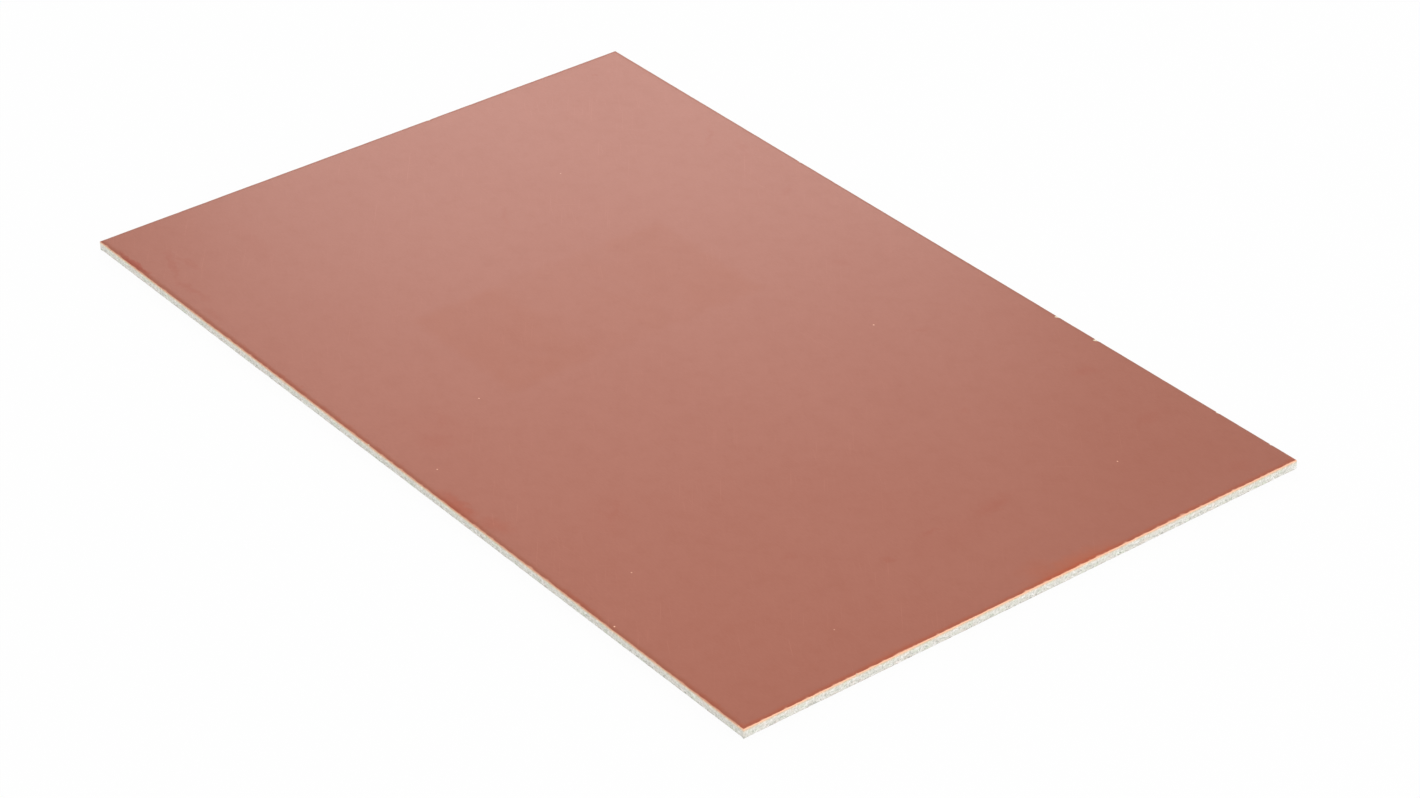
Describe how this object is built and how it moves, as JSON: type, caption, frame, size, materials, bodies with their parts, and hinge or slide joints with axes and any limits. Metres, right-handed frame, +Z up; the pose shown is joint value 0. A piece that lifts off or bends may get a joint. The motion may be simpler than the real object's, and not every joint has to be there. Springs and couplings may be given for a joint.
{
  "type": "double-sided copper clad board",
  "caption": "Flat rectangular blank of glass-epoxy laminate with copper foil on both faces, cut or etched to make circuit boards.",
  "frame": {"origin": "centre of the underside, on the plane that the board rests on", "axes": "+X along the board's length, +Y along its width, +Z up through its thickness, out of the face that the shear entered"},
  "size_m": [0.16, 0.1, 0.0016],
  "materials": {
    "copper_foil": "satin electrodeposited copper, lightly tarnished",
    "glass_epoxy": "sheared edge of pressed woven-glass plies in clear epoxy"
  },
  "bodies": {
    "root": {"copper_foil_top": "copper_foil", "glass_epoxy_core": "glass_epoxy", "copper_foil_bottom": "copper_foil"}
  },
  "joints": []
}
